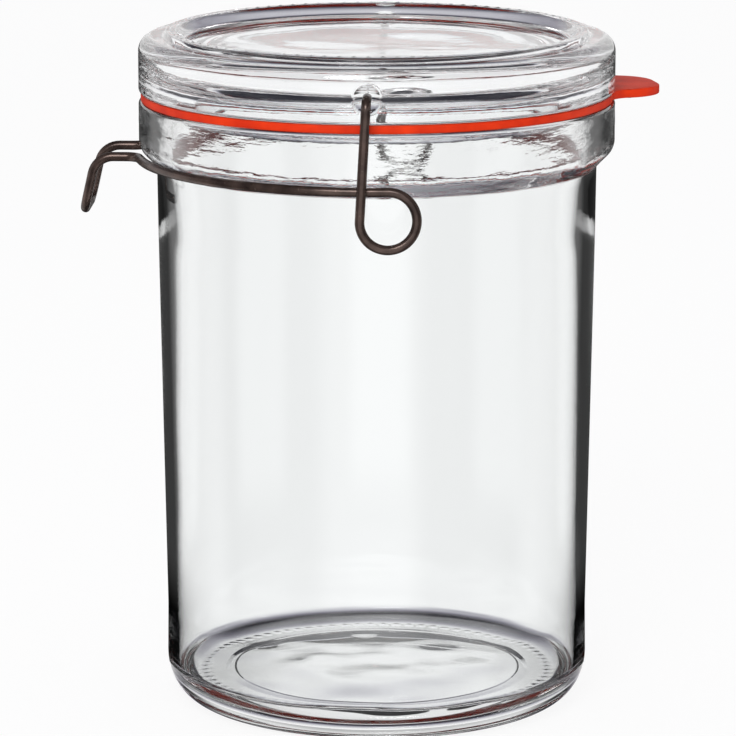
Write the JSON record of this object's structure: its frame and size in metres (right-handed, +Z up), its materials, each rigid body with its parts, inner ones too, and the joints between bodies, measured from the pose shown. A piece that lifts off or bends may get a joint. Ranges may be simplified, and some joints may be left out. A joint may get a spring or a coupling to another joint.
{
  "type": "canning jar",
  "caption": "Clear glass canning jar with a flat rubber gasket, a stacking glass lid and a spring-wire bail that pivots on the lid and hooks under the jar's collar.",
  "frame": {"origin": "centre of the base ring, on the surface that the jar stands on", "axes": "+Z up along the jar's axis, -Y towards the front spring loop, -X towards the bail's handle, +X towards the gasket's pull tab"},
  "size_m": [0.138, 0.12, 0.1606],
  "materials": {
    "clear_glass": "pressed and fire-polished, clear, glossy",
    "lid_glass": "pressed and fire-polished, clear, glossy",
    "orange_rubber": "moulded, satin",
    "oxidised_spring_steel": "drawn and browned, satin"
  },
  "bodies": {
    "jar": {"jar_body": "clear_glass"},
    "seal": {"gasket": "orange_rubber"},
    "cover": {"lid": "lid_glass"},
    "bail": {"wire_bail": "oxidised_spring_steel"}
  },
  "joints": [
    {"name": "gasket_lift", "type": "slide", "parent": "jar", "child": "seal", "axis": [0, 0, 1], "range_m": [0, 0.09]},
    {"name": "lid_lift", "type": "slide", "parent": "seal", "child": "cover", "axis": [0, 0, 1], "range_m": [0, 0.12]},
    {"name": "bail_swing", "type": "hinge", "parent": "cover", "child": "bail", "pos_m": [0, 0, 0.152], "axis": [0, 1, 0], "range_deg": [0, 200]}
  ]
}
